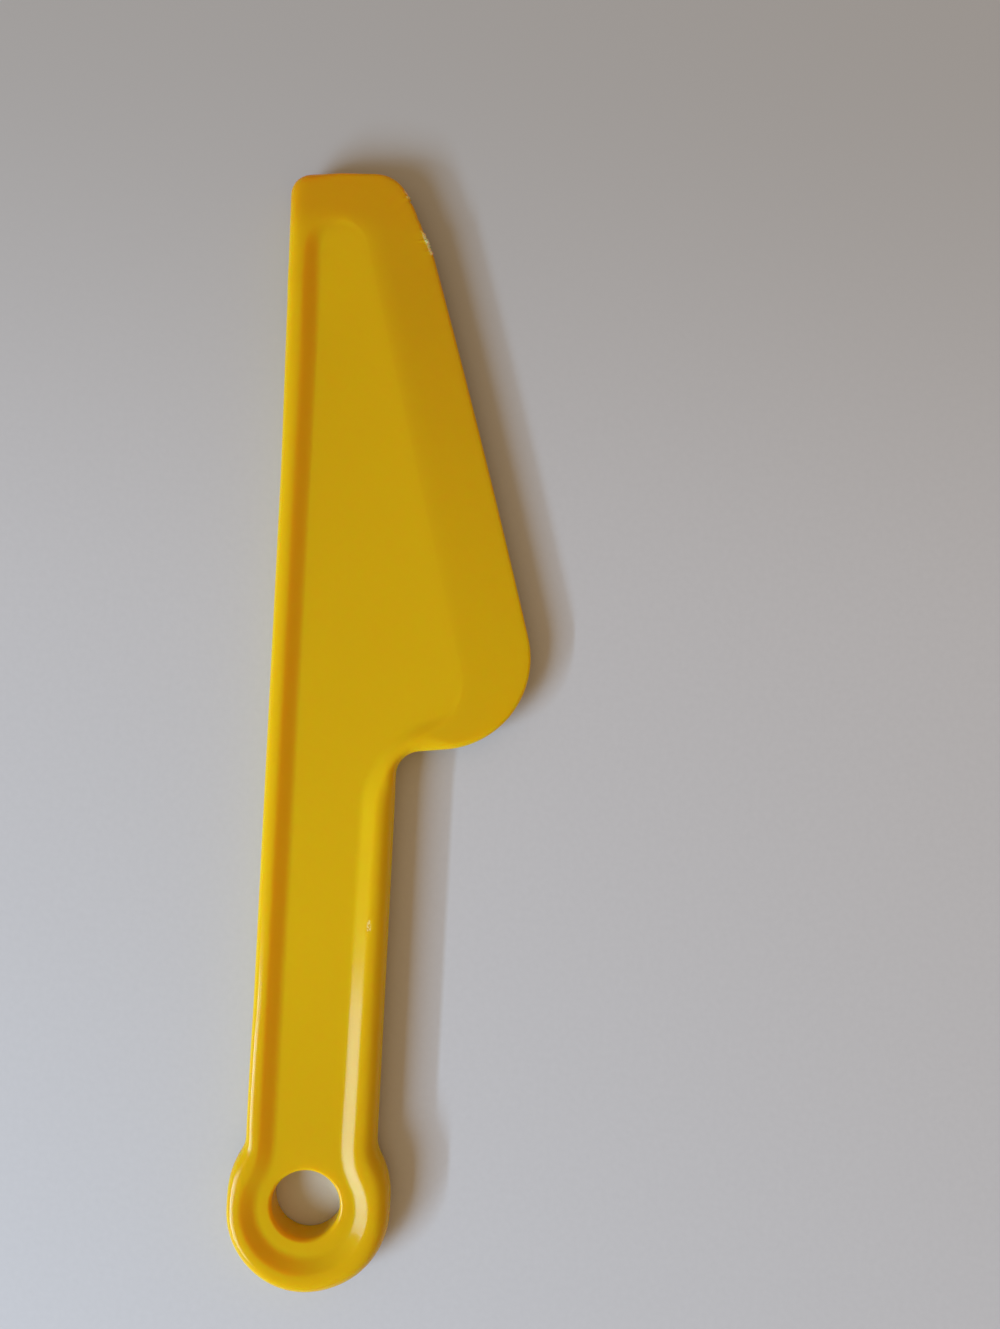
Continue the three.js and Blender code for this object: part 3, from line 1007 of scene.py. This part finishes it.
side_light("window", elevation=40.5, spread=11.5, length=0.85, power=14.8)
side_light("window_sill", elevation=28.2, spread=0.9, length=0.7, power=10)

# %% [markdown]
# ## The room around it
# Shadows are never black, because walls and ceiling send light back into them. A whole room could be built,
# but nothing of it is seen, so the world's colour does its work: one wall on the left, a warmer one on the
# right, and a warm ceiling that takes over with height. Only the camera sees the pale backdrop instead, so
# the background of the other views matches the paper and puts no light on the tool.

# %% Colour the room and the backdrop
left_wall = (0.20, 0.20, 0.22, 1)
right_wall = (0.20, 0.16, 0.15, 1)
ceiling = (0.61, 0.427, 0.215, 1)
backdrop = linear(182, 180, 179)

world = bpy.data.worlds.new("studio")
world.use_nodes = True
world.node_tree.nodes.clear()
bpy.context.scene.world = world
sky = Wire(world.node_tree)
to_right, _, upwards = sky.node("TexCoord", output="Generated").split()
walls = (0.5 + 0.5 * to_right).mix(left_wall, right_wall)
room = sky.math("MAXIMUM", upwards, 0).mix(walls, ceiling)
seen = sky.node("LightPath", output="Is Camera Ray").mix(room, backdrop)
sky.node("OutputWorld", inputs={"Surface": sky.node("Background", inputs={"Color": seen})})
print(f"{len(world.node_tree.nodes)} nodes make the room")

# %% [markdown]
# ## The camera
# The photograph was taken from close above, straight down, with the tool lying a little askew in the
# picture. We could turn the tool, but then it would leave its frame. So the camera is turned instead. Its
# height and its lens go together: from twice the height, with twice the lens, the tool would look as large,
# but less of the rim's sides would show.

# %% Set up the camera
picture_height = 1329
focal_pixels = 1058.6
camera_height = 240 * MM
object_lean = 2.95
nearest_seen = 0.01
camera_place = plan(36.25 * MM, 122.95 * MM)
bpy.ops.object.camera_add(location=(camera_place.x, camera_place.y, camera_height))
camera = bpy.context.object
camera.rotation_euler = (0, 0, math.radians(object_lean))
camera.data.sensor_fit = "VERTICAL"
camera.data.sensor_height = 24
camera.data.lens = focal_pixels / picture_height * camera.data.sensor_height
camera.data.clip_start = nearest_seen
bpy.context.scene.camera = camera
bpy.context.scene.view_settings.view_transform = "Standard"
print(f"a {camera.data.lens:.1f} mm lens, {1000 * camera_height:.0f} mm above the table")
